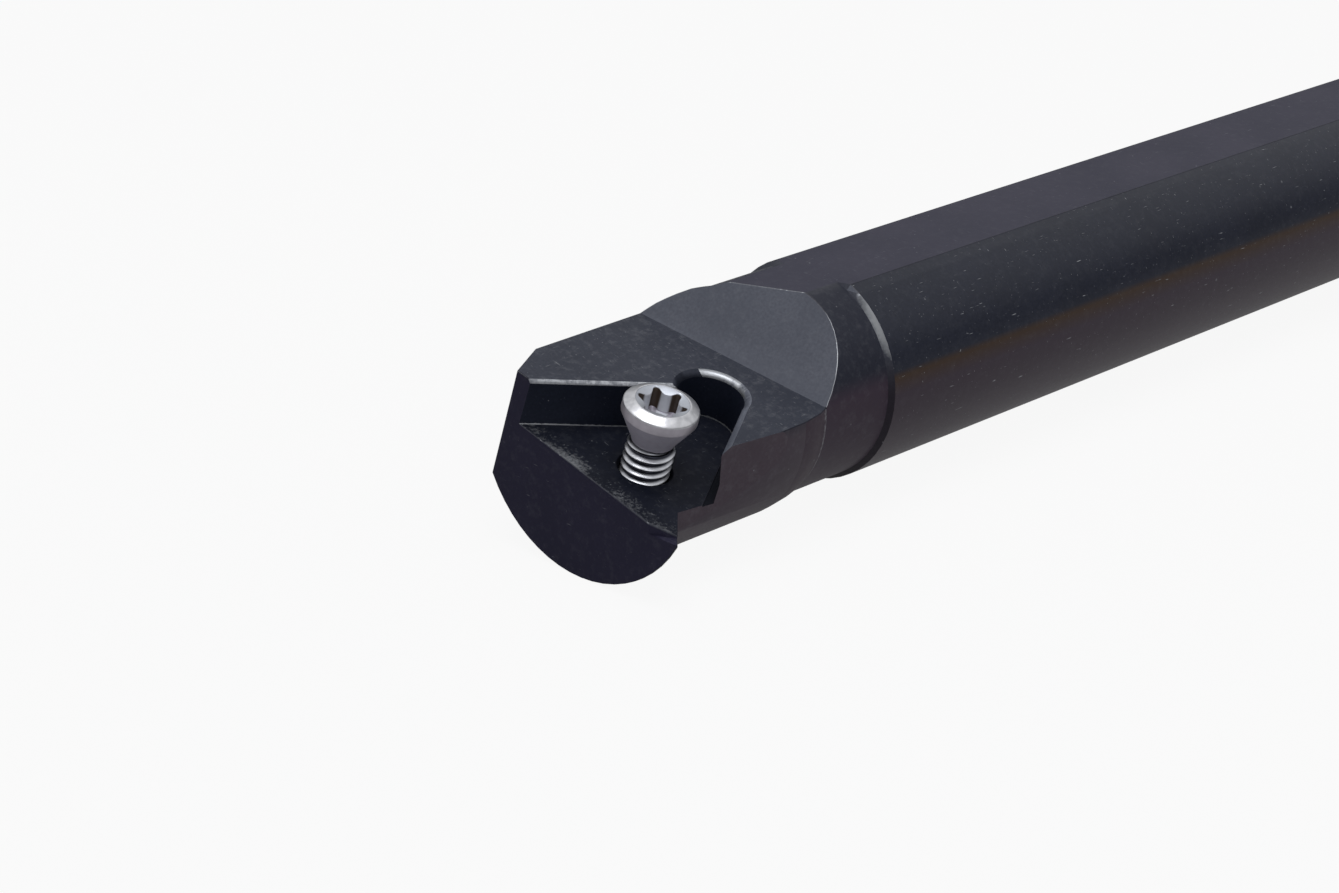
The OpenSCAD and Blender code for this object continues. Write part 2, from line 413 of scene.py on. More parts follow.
    def flecks(self, tree: bpy.types.NodeTree, in_mm: bpy.types.NodeSocket) -> bpy.types.NodeSocket:
        """Small pale specks of handling wear, one cell in every few with its own size.

        Args:
            tree: The material's node tree.
            in_mm: Coordinates in millimetres.

        Returns:
            The share of the dulled colour.
        """
        cells = add_node(tree, "ShaderNodeTexVoronoi", {"Vector": in_mm, "Scale": 1 / self.speck_mm})
        chance = add_node(tree, "ShaderNodeSeparateColor", {0: cells.outputs["Color"]}).outputs[0]
        size = add_node(
            tree, "ShaderNodeMapRange",
            {"Value": chance, "From Min": 1 - self.specks, "To Max": self.SPECK_SIZE},
        ).outputs["Result"]
        inside = add_node(
            tree, "ShaderNodeMath", {0: size, 1: cells.outputs["Distance"]}, operation="SUBTRACT"
        ).outputs[0]
        return add_node(
            tree, "ShaderNodeMapRange",
            {"Value": inside, "From Max": self.SPECK_SOFT, "To Max": self.SPECK_SHARE},
        ).outputs["Result"]

    def bare(
        self,
        tree: bpy.types.NodeTree,
        in_mm: bpy.types.NodeSocket,
        grain: bpy.types.NodeSocket,
        patches: bpy.types.NodeSocket,
    ) -> bpy.types.NodeSocket:
        """Where the oxide is rubbed off, over the whole surface and more so near a scuff's plane.

        Args:
            tree: The material's node tree.
            in_mm: Coordinates in millimetres.
            grain: The fine grain, which frays the rubbed places.
            patches: The wide patches, which make a scuff stronger in some places.

        Returns:
            The share of bare steel; on the shoulder, and in part round the relief's chamfers, it is a
            painted highlight.
        """
        rubbed = add_node(
            tree, "ShaderNodeTexNoise",
            {"Vector": in_mm, "Scale": 1 / self.worn_mm, "Detail": 4.0, "Roughness": 0.65},
        ).outputs["Fac"]
        if self.scuff_and_highlight_axis:
            rubbed = self.add_scuff_and_highlight(tree, in_mm, patches, rubbed)
        frayed = add_node(
            tree, "ShaderNodeMath", {0: grain, 1: self.FRAYING, 2: rubbed}, operation="MULTIPLY_ADD"
        ).outputs[0]
        start = self.BARE_FROM - self.worn / 2
        return add_node(
            tree, "ShaderNodeMapRange",
            {"Value": frayed, "From Min": start, "From Max": start + self.worn_soft,
             "To Max": self.worn_most},
        ).outputs["Result"]

    def add_scuff_and_highlight(
        self,
        tree: bpy.types.NodeTree,
        in_mm: bpy.types.NodeSocket,
        patches: bpy.types.NodeSocket,
        rubbed: bpy.types.NodeSocket,
    ) -> bpy.types.NodeSocket:
        """Raises the rubbed pattern near the scuff's plane, on both of its sides; on the shoulder it
        paints a highlight.

        Args:
            tree: The material's node tree.
            in_mm: Coordinates in millimetres.
            patches: The wide patches.
            rubbed: The pattern without the scuff.

        Returns:
            The pattern with the scuff, which on the shoulder is a painted highlight.
        """
        along = add_node(
            tree, "ShaderNodeVectorMath", {0: in_mm, 1: self.scuff_and_highlight_axis}, operation="DOT_PRODUCT"
        ).outputs["Value"]
        past = add_node(
            tree, "ShaderNodeMath", {0: along, 1: self.scuff_and_highlight_at}, operation="SUBTRACT"
        ).outputs[0]
        off = add_node(tree, "ShaderNodeMath", {0: past}, operation="ABSOLUTE").outputs[0]
        near = add_node(
            tree, "ShaderNodeMapRange",
            {"Value": off, "From Min": self.scuff_and_highlight_width, "From Max": 0.0},
        ).outputs["Result"]
        gain = add_node(
            tree, "ShaderNodeMapRange",
            {"Value": patches, "From Min": 0.3, "From Max": 0.6,
             "To Min": self.scuff_and_highlight_least * self.scuff_and_highlight_gain, "To Max": self.scuff_and_highlight_gain},
        ).outputs["Result"]
        return add_node(
            tree, "ShaderNodeMath", {0: near, 1: gain, 2: rubbed}, operation="MULTIPLY_ADD"
        ).outputs[0]

    def marks(
        self, tree: bpy.types.NodeTree, in_mm: bpy.types.NodeSocket, grain: bpy.types.NodeSocket
    ) -> bpy.types.NodeSocket:
        """The fine lines that the cutter left, with the grain of the oxide over them.

        Args:
            tree: The material's node tree.
            in_mm: Coordinates in millimetres.
            grain: The fine grain.

        Returns:
            The bumped normal.
        """
        along = add_node(
            tree, "ShaderNodeVectorMath", {0: in_mm, 1: self.mark_axis}, operation="DOT_PRODUCT"
        ).outputs["Value"]
        line = add_node(tree, "ShaderNodeCombineXYZ", {"X": along}).outputs[0]
        lines = add_node(
            tree, "ShaderNodeTexNoise", {"Vector": line, "Scale": 1 / self.mark_mm, "Detail": 2.0}
        ).outputs["Fac"]
        height = add_node(
            tree, "ShaderNodeMath", {0: grain, 1: 0.7, 2: lines}, operation="MULTIPLY_ADD"
        ).outputs[0]
        return add_node(
            tree, "ShaderNodeBump",
            {"Height": height, "Strength": 1.0, "Distance": self.mark_um * MM * MM},
        ).outputs["Normal"]


@dataclass
class HolderBar:
    """The one-piece bar: shank, neck, head and nose, with the tilted seat milled into the head."""

    seat: SeatFrame
    front_x: float = -23.6
    notch_z: float = -3.4
    notch_length: float = 3.0
    flat_z: float = 7.25
    head_x: float = -9.6
    flare_x: float = -6.95
    shoulder_x: float = -0.35
    rear_x: float = 126.4
    rear_zone: float = 2.0
    ramp_normal: tuple[float, float, float] = (-0.6803, -0.3432, 0.6475)

    # From here on in the seat's frame, with its floor at zero
    insert_t: float = 3.52
    chamfers_z: float = 3.0
    chamfers_x: float = -9.0
    front_wall_end_x: float = 5.0
    dull_from_y: float = 2.9
    dull_to_x: float = 7.6
    relief_center: tuple[float, float] = (6.42, 0.97)
    relief_r: float = 2.33
    hole_zone_r: float = 2.1
    hole_zone_z: float = 0.1
    groove_z: tuple[float, float] = (-0.3, -0.05)
    pocket_low_z: float = -0.5

    # How the CAD mesh is cleaned, and then how wide each kind of edge is broken
    weld_mm: float = 0.06
    sliver_mm: float = 0.004
    edges: dict[Surface, float] = field(default_factory=lambda: {
        Surface.BRIGHT_EDGE: 0.04,
        Surface.ARC_EDGE: 0.03,
        Surface.FAINT_EDGE: 0.05,
        Surface.SCUFFED_EDGE: 0.08,
    })

    def surface_of(self, face: bmesh.types.BMFace) -> Surface:
        """Tells which surface of the bar a face belongs to.

        Args:
            face: A face of the merged copy, still in metres.

        Returns:
            The surface.
        """
        centre = face.calc_center_median() / MM
        normal = face.normal
        spot = self.seat.local(centre)
        lean = self.seat.direction(normal)
        if normal.x > 0.5 and centre.x > self.rear_x - self.rear_zone:
            return Surface.REAR
        if normal.z > SAME_WAY and abs(centre.z - self.flat_z) < SAME_PLANE:
            return Surface.FLAT
        if self.at_the_front(centre, normal):
            return Surface.FRONT
        if normal.dot(Vector(self.ramp_normal)) > SAME_WAY:
            return Surface.RAMP
        if lean.z > SAME_WAY and abs(spot.z - self.insert_t) < SAME_PLANE:
            return Surface.TOP
        if lean.z > SAME_WAY and abs(spot.z) < SAME_PLANE:
            return Surface.SEAT
        if 0.6 < lean.z < 0.8 and self.chamfers_z < spot.z < self.insert_t and spot.x > self.chamfers_x:
            return self.chamfer(spot, lean)
        if abs(normal.z) < 0.001 and normal.y < -0.6 and self.front_x < centre.x < self.head_x:
            return Surface.RELIEF
        if spot.z < self.hole_zone_z and math.hypot(spot.x, spot.y) < self.hole_zone_r:
            return Surface.HOLE
        if lean.z > SAME_WAY and self.groove_z[0] < spot.z < self.groove_z[1]:
            return Surface.HOLE
        if self.pocket_low_z < spot.z < self.insert_t and self.in_pocket(spot, lean):
            return Surface.WALL
        return self.turned(centre, normal)

    def chamfer(self, spot: Vector, lean: Vector) -> Surface:
        """Tells the front wall's chamfer and the relief's dull part from the other chamfers.

        Args:
            spot: The face's middle in the seat's frame.
            lean: The face's normal in the seat's frame.

        Returns:
            The surface.
        """
        if lean.dot(self.wall_normal(1)) < -0.7 and spot.x < self.front_wall_end_x:
            return Surface.BREAK
        if spot.y > self.dull_from_y and spot.x < self.dull_to_x:
            return Surface.DULL_BREAK
        return Surface.CHAMFER

    def turned(self, centre: Vector, normal: Vector) -> Surface:
        """Tells which turned surface a face belongs to, by its place along the bar.

        Args:
            centre: The face's middle, in millimetres.
            normal: The face's normal.

        Returns:
            The surface.
        """
        if self.shoulder_x < centre.x < 0 and normal.x < -0.5:
            return Surface.SHOULDER
        if centre.x > 0:
            return Surface.SHANK
        if centre.x > self.flare_x:
            return Surface.NECK
        if centre.x > self.head_x:
            return Surface.FLARE
        return Surface.HEAD

    def at_the_front(self, centre: Vector, normal: Vector) -> bool:
        """Finds the front face and the small notch under the tip.

        Args:
            centre: The face's middle, in millimetres.
            normal: The face's normal.

        Returns:
            Whether the face is one of them.
        """
        if normal.x < -0.9 and abs(normal.z) < 0.01:
            return centre.x < self.front_x + self.notch_length
        return normal.z > SAME_WAY and centre.z < self.notch_z

    def wall_normal(self, side: int) -> Vector:
        """The way through a wall of the pocket and out of it, in the seat's frame.

        Args:
            side: 1 for the front wall, -1 for the rear wall.

        Returns:
            The direction.
        """
        half = math.radians(30)
        return Vector((math.sin(half), side * math.cos(half), 0))

    def in_pocket(self, spot: Vector, lean: Vector) -> bool:
        """Finds the pocket's walls and the round relief behind their corner.

        Args:
            spot: The face's middle in the seat's frame.
            lean: The face's normal in the seat's frame.

        Returns:
            Whether the face is one of them.
        """
        on_front_wall = -lean.dot(self.wall_normal(1)) > SAME_WAY
        before_relief_end = spot.x < self.relief_center[0] + self.relief_r
        faces_rear_wall = abs(lean.dot(self.wall_normal(-1))) > 0.97
        on_rear_wall = spot.y < 0 and before_relief_end and faces_rear_wall
        round_off = math.hypot(spot.x - self.relief_center[0], spot.y - self.relief_center[1])
        in_relief = abs(lean.z) < 0.01 and round_off < self.relief_r + 0.05
        return on_front_wall or on_rear_wall or in_relief

    def edge_kind(self, first: Surface, second: Surface) -> Surface | None:
        """Tells how the edge between two surfaces is broken.

        Args:
            first: The surface on one side.
            second: The surface on the other.

        Returns:
            The edge's own surface, or None where the edge stays as it is.
        """
        pair = {first, second}
        left = {
            Surface.SHOULDER, Surface.CHAMFER, Surface.BREAK, Surface.DULL_BREAK, Surface.RELIEF,
            Surface.HOLE,
        }
        if len(pair) == 1 or pair == {Surface.WALL, Surface.FRONT} or pair & left:
            return None
        if pair == {Surface.SEAT, Surface.FRONT}:
            return Surface.SCUFFED_EDGE
        if pair in ({Surface.RAMP, Surface.FLAT}, {Surface.TOP, Surface.FRONT}):
            return Surface.BRIGHT_EDGE
        if Surface.RAMP in pair:
            return Surface.ARC_EDGE
        return Surface.FAINT_EDGE

    def build(self) -> bpy.types.Object:
        """Builds the bar from a merged copy of its CAD node, with its edges broken.

        Returns:
            The finished piece.
        """
        bm = bmesh.new()
        bm.from_mesh(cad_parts["holder_bar"].data)
        bmesh.ops.remove_doubles(bm, verts=bm.verts, dist=1e-7)
        self.join_slivers(bm)
        bmesh.ops.dissolve_limit(
            bm, angle_limit=math.radians(0.3), use_dissolve_boundaries=False,
            verts=bm.verts, edges=bm.edges, delimit=set(),
        )
        bmesh.ops.remove_doubles(bm, verts=bm.verts, dist=self.weld_mm * MM)
        bm.normal_update()
        order = list(Surface)
        for face in bm.faces:
            face.material_index = order.index(self.surface_of(face))
        self.break_edges(bm, order)
        for face in bm.faces:
            face.smooth = True
        piece = add_piece(bm, "holder_bar_dressed", 32)
        shading = piece.modifiers.new("even_shading", "WEIGHTED_NORMAL")
        shading.keep_sharp = True
        shading.weight = 100
        return piece

    def join_slivers(self, bm: bmesh.types.BMesh) -> None:
        """Joins each sliver of the CAD mesh with the face across its longest edge.

        A sliver's own normal is too rough to tell which surface it belongs to.

        Args:
            bm: The merged copy.
        """
        longest = set()
        for face in bm.faces:
            edge = max(face.edges, key=lambda e: e.calc_length())
            if 2 * face.calc_area() < self.sliver_mm * MM * edge.calc_length():
                longest.add(edge)
        bmesh.ops.dissolve_edges(bm, edges=list(longest), use_verts=False)

    def break_edges(self, bm: bmesh.types.BMesh, order: list[Surface]) -> None:
        """Breaks the outer edges by a few hundredths, and gives them their own surface.

        Args:
            bm: The merged copy.
            order: The surfaces in the order of the material slots.
        """
        for kind, width in self.edges.items():
            chosen = [
                edge for edge in bm.edges
                if edge.is_manifold and edge.is_convex
                and edge.calc_face_angle(0) > math.radians(22)
                and self.edge_kind(*[order[f.material_index] for f in edge.link_faces]) is kind
            ]
            made = bmesh.ops.bevel(
                bm, geom=chosen, offset=width * MM, offset_type="OFFSET", segments=2, profile=0.5,
                affect="EDGES", clamp_overlap=False, material=-1, loop_slide=True,
            )
            for face in made["faces"]:
                face.material_index = order.index(kind)

    def finishes(self) -> dict[Surface, OxideFinish]:
        """The finish of each surface, from how it was cut and how it has worn."""
        along_u = tuple(self.seat.axis(0))
        along_v = tuple(self.seat.axis(1))
        up = tuple(self.seat.axis(2))
        return {
            # Ground and blackened: a smooth blue-black sheen; lower down a brown rim and then violet, a
            # painted reflection of light from below
            Surface.SHANK: OxideFinish(
                "ground_oxide_painted_low_reflection", "#1c1f2a", "#222531", low_side="#342a35", low_rim="#38291f",
                low_from=2.1, low_to=1.5, roughness=0.34, gloss=0.16, mark_mm=0.5, mark_um=0.2,
                specks=0.1, speck_mm=1.1, smudges=0.05, scratches=0.85,
            ),
            # Turned: fine rings under the oxide break the sheen; violet lower down, a painted
            # reflection of light from below
            Surface.NECK: OxideFinish(
                "neck_oxide_painted_low_reflection", "#21232e", "#282a34", low_side="#372d39", low_from=2.6,
                low_to=1.0, roughness=0.42, mark_mm=0.15, mark_um=1.2, specks=0.14, smudges=0.1,
            ),
            # Turned, with a faint rubbed line where it meets the neck; violet lower down, a painted
            # reflection of light from below
            Surface.FLARE: OxideFinish(
                "flare_oxide_painted_low_reflection", "#242530", "#2b2c35", low_side="#3b313b",
                roughness=0.45, mark_mm=0.15, mark_um=1.2, specks=0.16, smudges=0.1,
                worn_mm=0.25, worn_most=0.45, worn_soft=0.3, scuff_and_highlight_axis=(1.0, 0.0, 0.0),
                scuff_and_highlight_at=self.flare_x, scuff_and_highlight_width=0.5, scuff_and_highlight_gain=0.7,
            ),
            # Turned and much handled: pale smudges, and a dull violet grey low on the side that is a
            # painted reflection of light from below
            Surface.HEAD: OxideFinish(
                "head_oxide_painted_low_reflection", "#282832", "#2f2f38", low_side="#463f47", low_from=1.5,
                low_to=0.0, roughness=0.45, mark_mm=0.15, mark_um=1.2, specks=0.16, smudges=0.12,
            ),
            # Milled flat: an even slate grey, hardly glossy
            Surface.FLAT: OxideFinish(
                "flat_black_oxide", "#2f2f3c", "#373643", roughness=0.55,
                mark_mm=0.5, mark_um=0.3, specks=0.2, smudges=0.05, scratches=0.3,
            ),
            # Milled with the cutter's side: the palest face, matt, with fine lines across
            Surface.RAMP: OxideFinish(
                "milled_black_oxide", "#4b4e58", "#555862", roughness=0.62,
                mark_axis=along_v, mark_mm=0.14, mark_um=0.8, specks=0.15, smudges=0.1,
            ),
            # Milled, then struck by chips: matt grey full of pale specks and short scratches
            Surface.TOP: OxideFinish(
                "top_black_oxide", "#2c2f39", "#363943", roughness=0.52,
                mark_axis=along_u, mark_mm=0.12, mark_um=0.8, specks=0.55, speck_mm=0.35,
                smudges=0.2, scratches=0.6,
            ),
            # Milled seat down in the pocket: nearly black, painted shade, and rubbed grey along the
            # front edge
            Surface.SEAT: OxideFinish(
                "seat_oxide_painted_shade", "#0e111b", "#141722", roughness=0.55, gloss=0.08,
                patch_mm=3.0, mark_axis=along_v, mark_mm=0.12, mark_um=0.6, specks=0.2,
                speck_mm=0.4, smudges=0.06, scratches=0.5, worn_mm=0.22, worn_most=0.45,
                worn_soft=0.45, scuff_and_highlight_axis=(1.0, 0.0, 0.0), scuff_and_highlight_at=self.front_x,
                scuff_and_highlight_width=2.0, scuff_and_highlight_gain=0.65, scuff_and_highlight_least=0.2,
            ),
            # Milled walls: nearly black, painted shade in the pocket, with a thin rubbed line along
            # their foot
            Surface.WALL: OxideFinish(
                "wall_oxide_painted_shade", "#131722", "#191d29", roughness=0.55, gloss=0.08,
                mark_axis=up, mark_mm=0.2, mark_um=0.5, specks=0.12, scratches=0.1, worn_mm=0.4,
                worn_most=0.7, scuff_and_highlight_axis=up, scuff_and_highlight_at=self.level(2) + 0.05, scuff_and_highlight_width=0.1,
                scuff_and_highlight_gain=0.75, scuff_and_highlight_least=0.6,
            ),
            # The tapped hole and the groove: black, painted shade
            Surface.HOLE: OxideFinish(
                "hole_painted_shade", "#0b0d14", "#101219", roughness=0.6, gloss=0.05,
                mark_axis=up, mark_mm=0.6, mark_um=1.0, specks=0.1,
            ),
            # Chamfers that inserts rub against: grey from wear, and round the relief a painted
            # highlight as well
            Surface.CHAMFER: OxideFinish(
                "chamfer_wear_and_painted_highlight", "#525661", "#6a6e7a", roughness=0.4, gloss=0.3,
                worn_mm=1.2, worn_most=0.85, specks=0.3, scuff_and_highlight_axis=along_v,
                scuff_and_highlight_at=self.level(1) + 3.4, scuff_and_highlight_width=5.0, scuff_and_highlight_gain=0.8,
            ),
            # One part of the relief's chamfer: left nearly black, without the grey of the others
            Surface.DULL_BREAK: OxideFinish(
                "dull_break_oxide", "#242731", "#2d303a", roughness=0.55, specks=0.3, speck_mm=0.3,
            ),
            # The long chamfer over the front wall, rubbed almost bare: a bright grey line, partly a
            # painted highlight
            Surface.BREAK: OxideFinish(
                "break_wear_and_painted_highlight", "#6a6d75", "#8b8e95", roughness=0.38, gloss=0.4,
                worn=0.6, worn_mm=0.5, specks=0.2,
            ),
            # The ring at the shank's end: a painted highlight of bare steel on its upper near side, and
            # painted shade low down
            Surface.SHOULDER: OxideFinish(
                "shoulder_oxide_painted_highlight_and_shade", "#34363f", "#3f414a", low_side="#27232b", roughness=0.42,
                gloss=0.1, worn_mm=4.0, worn_most=1.0, worn_soft=0.4, specks=0.1,
                scuff_and_highlight_axis=(0.0, -0.766, 0.643), scuff_and_highlight_at=8.0, scuff_and_highlight_width=0.85,
                scuff_and_highlight_gain=0.75, scuff_and_highlight_least=0.8,
            ),
            # Face-milled end: an even, dark violet
            Surface.FRONT: OxideFinish(
                "front_black_oxide", "#1e1d2f", "#232134", roughness=0.55, gloss=0.1,
                mark_axis=(0.0, 1.0, 0.0), mark_mm=0.3, mark_um=0.5, specks=0.12, smudges=0.06,
                scratches=0.15,
            ),
            # Milled side: the violet grey of the head beside it
            Surface.RELIEF: OxideFinish(
                "relief_black_oxide", "#433b43", "#4a424a", roughness=0.5,
                mark_axis=(0.0, 0.0, 1.0), mark_mm=0.15, mark_um=1.0, specks=0.2, smudges=0.12,
            ),
            # Faced end: plain dark grey
            Surface.REAR: OxideFinish(
                "rear_black_oxide", "#33353e", "#3b3d46", roughness=0.55,
                mark_axis=(0.0, 1.0, 0.0), mark_mm=0.2, mark_um=1.0, specks=0.1,
            ),
            # Proud edges that hands and chips rub: thin pale lines
            Surface.BRIGHT_EDGE: OxideFinish(
                "bright_edge_oxide", "#4f5259", "#6b6e75", roughness=0.42, gloss=0.3,
                worn=0.35, worn_mm=0.4, specks=0.1,
            ),
            # The ramp's round edge: pale low down, dark at its highest
            Surface.ARC_EDGE: OxideFinish(
                "arc_edge_oxide", "#282a33", "#31333b", low_side="#8d9097", low_from=6.5,
                low_to=5.9, roughness=0.4, gloss=0.3, worn_mm=0.5, worn_most=0.7, specks=0.1,
                scuff_and_highlight_axis=(0.0, 0.0, 1.0), scuff_and_highlight_at=4.0, scuff_and_highlight_width=3.0, scuff_and_highlight_gain=0.4,
            ),
            # Edges that are hardly rubbed: as dark as the faces beside them
            Surface.FAINT_EDGE: OxideFinish(
                "faint_edge_oxide", "#23242c", "#2f3039", roughness=0.55, gloss=0.08,
                worn=0.12, worn_mm=0.6, worn_most=0.5, specks=0.1,
            ),
            # The seat's front edge, roughened by chips: grey with bare spots
            Surface.SCUFFED_EDGE: OxideFinish(
                "scuffed_edge_oxide", "#2b2d36", "#41434c", roughness=0.5, gloss=0.2,
                worn=0.25, worn_mm=0.8, worn_most=0.6, specks=0.3,
            ),
        }

    def level(self, number: int) -> float:
        """The seat's origin along one of its own axes, measured from the part's origin."""
        return Vector(self.seat.origin).dot(self.seat.axis(number))

    def dress(self, piece: bpy.types.Object) -> None:
        """Gives the piece its finishes, one slot for each surface."""
        finishes = self.finishes()
        for surface in Surface:
            piece.data.materials.append(finishes[surface].build())

    def mount(self) -> None:
        """Builds and dresses the bar, and puts it in place of its CAD node."""
        piece = self.build()
        self.dress(piece)
        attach(piece, "holder")
        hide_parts("holder_bar")
        LOG.info("%s: %d faces", piece.name, len(piece.data.polygons))


class Zone(Enum):
    """The zones of the screw, which catch the light differently."""

    CROWN = "crown"
    MOUTH = "mouth"
    SOCKET = "socket"
    BAND = "band"
    CONE = "cone"
    THREAD = "thread"


@dataclass(frozen=True)
class SteelFinish:
    """Screw steel, cold formed and rolled: bright where it was struck, grey and matt on its sides.

    A tint colours the places on one side of a radius: painted shade in the lobes of the socket and in
    the roots of the thread, and a grey line round the rim of the mouth.
    """

    name: str
    colour: str
    dull: str
    roughness: float = 0.32
    metal: float = 1.0
    # A colour on one side of a radius: painted shade in the socket's lobes and the thread's roots
    tint: str | None = None
    tint_from: float = 1.0
    tint_to: float = 2.0
    mottle: float = 0.4

    MOTTLE_MM: ClassVar[float] = 0.5
    GRAIN_MM: ClassVar[float] = 1 / 14
    GRAIN_DEPTH_MM: ClassVar[float] = 0.002

    def build(self, seat: SeatFrame) -> bpy.types.Material:
        """Makes the finish as a material.

        Args:
            seat: The seat's frame, whose normal is the screw's axis.

        Returns:
            The material.
        """
        material, tree = empty_material(self.name)
        place = add_node(tree, "ShaderNodeTexCoord").outputs["Object"]
        in_mm = add_node(
            tree, "ShaderNodeVectorMath", {0: place, 1: PER_METRE}, operation="MULTIPLY"
        ).outputs[0]
        cloud = add_node(
            tree, "ShaderNodeTexNoise", {"Vector": in_mm, "Scale": 1 / self.MOTTLE_MM, "Detail": 4.0}
        ).outputs["Fac"]
        grain = add_node(
            tree, "ShaderNodeTexNoise", {"Vector": in_mm, "Scale": 1 / self.GRAIN_MM, "Detail": 2.0}
        ).outputs["Fac"]
        share = add_node(
            tree, "ShaderNodeMapRange",
            {"Value": cloud, "From Min": 0.35, "From Max": 0.75, "To Max": self.mottle},
        ).outputs["Result"]
        colour = add_node(
            tree, "ShaderNodeMix", {0: share, 6: linear(self.colour), 7: linear(self.dull)},
            data_type="RGBA",
        ).outputs[2]
        if self.tint:
            beyond = self.off_axis(tree, in_mm, seat)
            colour = add_node(
                tree, "ShaderNodeMix", {0: beyond, 6: colour, 7: linear(self.tint)}, data_type="RGBA"
            ).outputs[2]
        rough = add_node(
            tree, "ShaderNodeMapRange",
            {"Value": cloud, "To Min": self.roughness - 0.05, "To Max": self.roughness + 0.08},
        ).outputs["Result"]
        bump = add_node(
            tree, "ShaderNodeBump",
            {"Height": grain, "Strength": 1.0, "Distance": self.GRAIN_DEPTH_MM * MM},
        ).outputs["Normal"]
        shader = add_node(
            tree, "ShaderNodeBsdfPrincipled",
            {"Base Color": colour, "Metallic": self.metal, "Roughness": rough, "Normal": bump},
        )
        add_node(tree, "ShaderNodeOutputMaterial", {"Surface": shader.outputs[0]})
        return material

    def off_axis(
        self, tree: bpy.types.NodeTree, in_mm: bpy.types.NodeSocket, seat: SeatFrame
    ) -> bpy.types.NodeSocket:
        """How far a place lies between the tint's two radii from the screw's axis.

        Args:
            tree: The material's node tree.
            in_mm: Coordinates in millimetres.
            seat: The seat's frame.

        Returns:
            The share of the tint.
        """
        off = add_node(
            tree, "ShaderNodeVectorMath", {0: in_mm, 1: seat.origin}, operation="SUBTRACT"
        ).outputs[0]
        across = add_node(
            tree, "ShaderNodeVectorMath", {0: off, 1: tuple(seat.axis(2))}, operation="CROSS_PRODUCT"
        ).outputs[0]
        radius = add_node(
            tree, "ShaderNodeVectorMath", {0: across}, operation="LENGTH"
        ).outputs["Value"]
        return add_node(
            tree, "ShaderNodeMapRange",
            {"Value": radius, "From Min": self.tint_from, "From Max": self.tint_to},
            interpolation_type="SMOOTHSTEP",
        ).outputs["Result"]


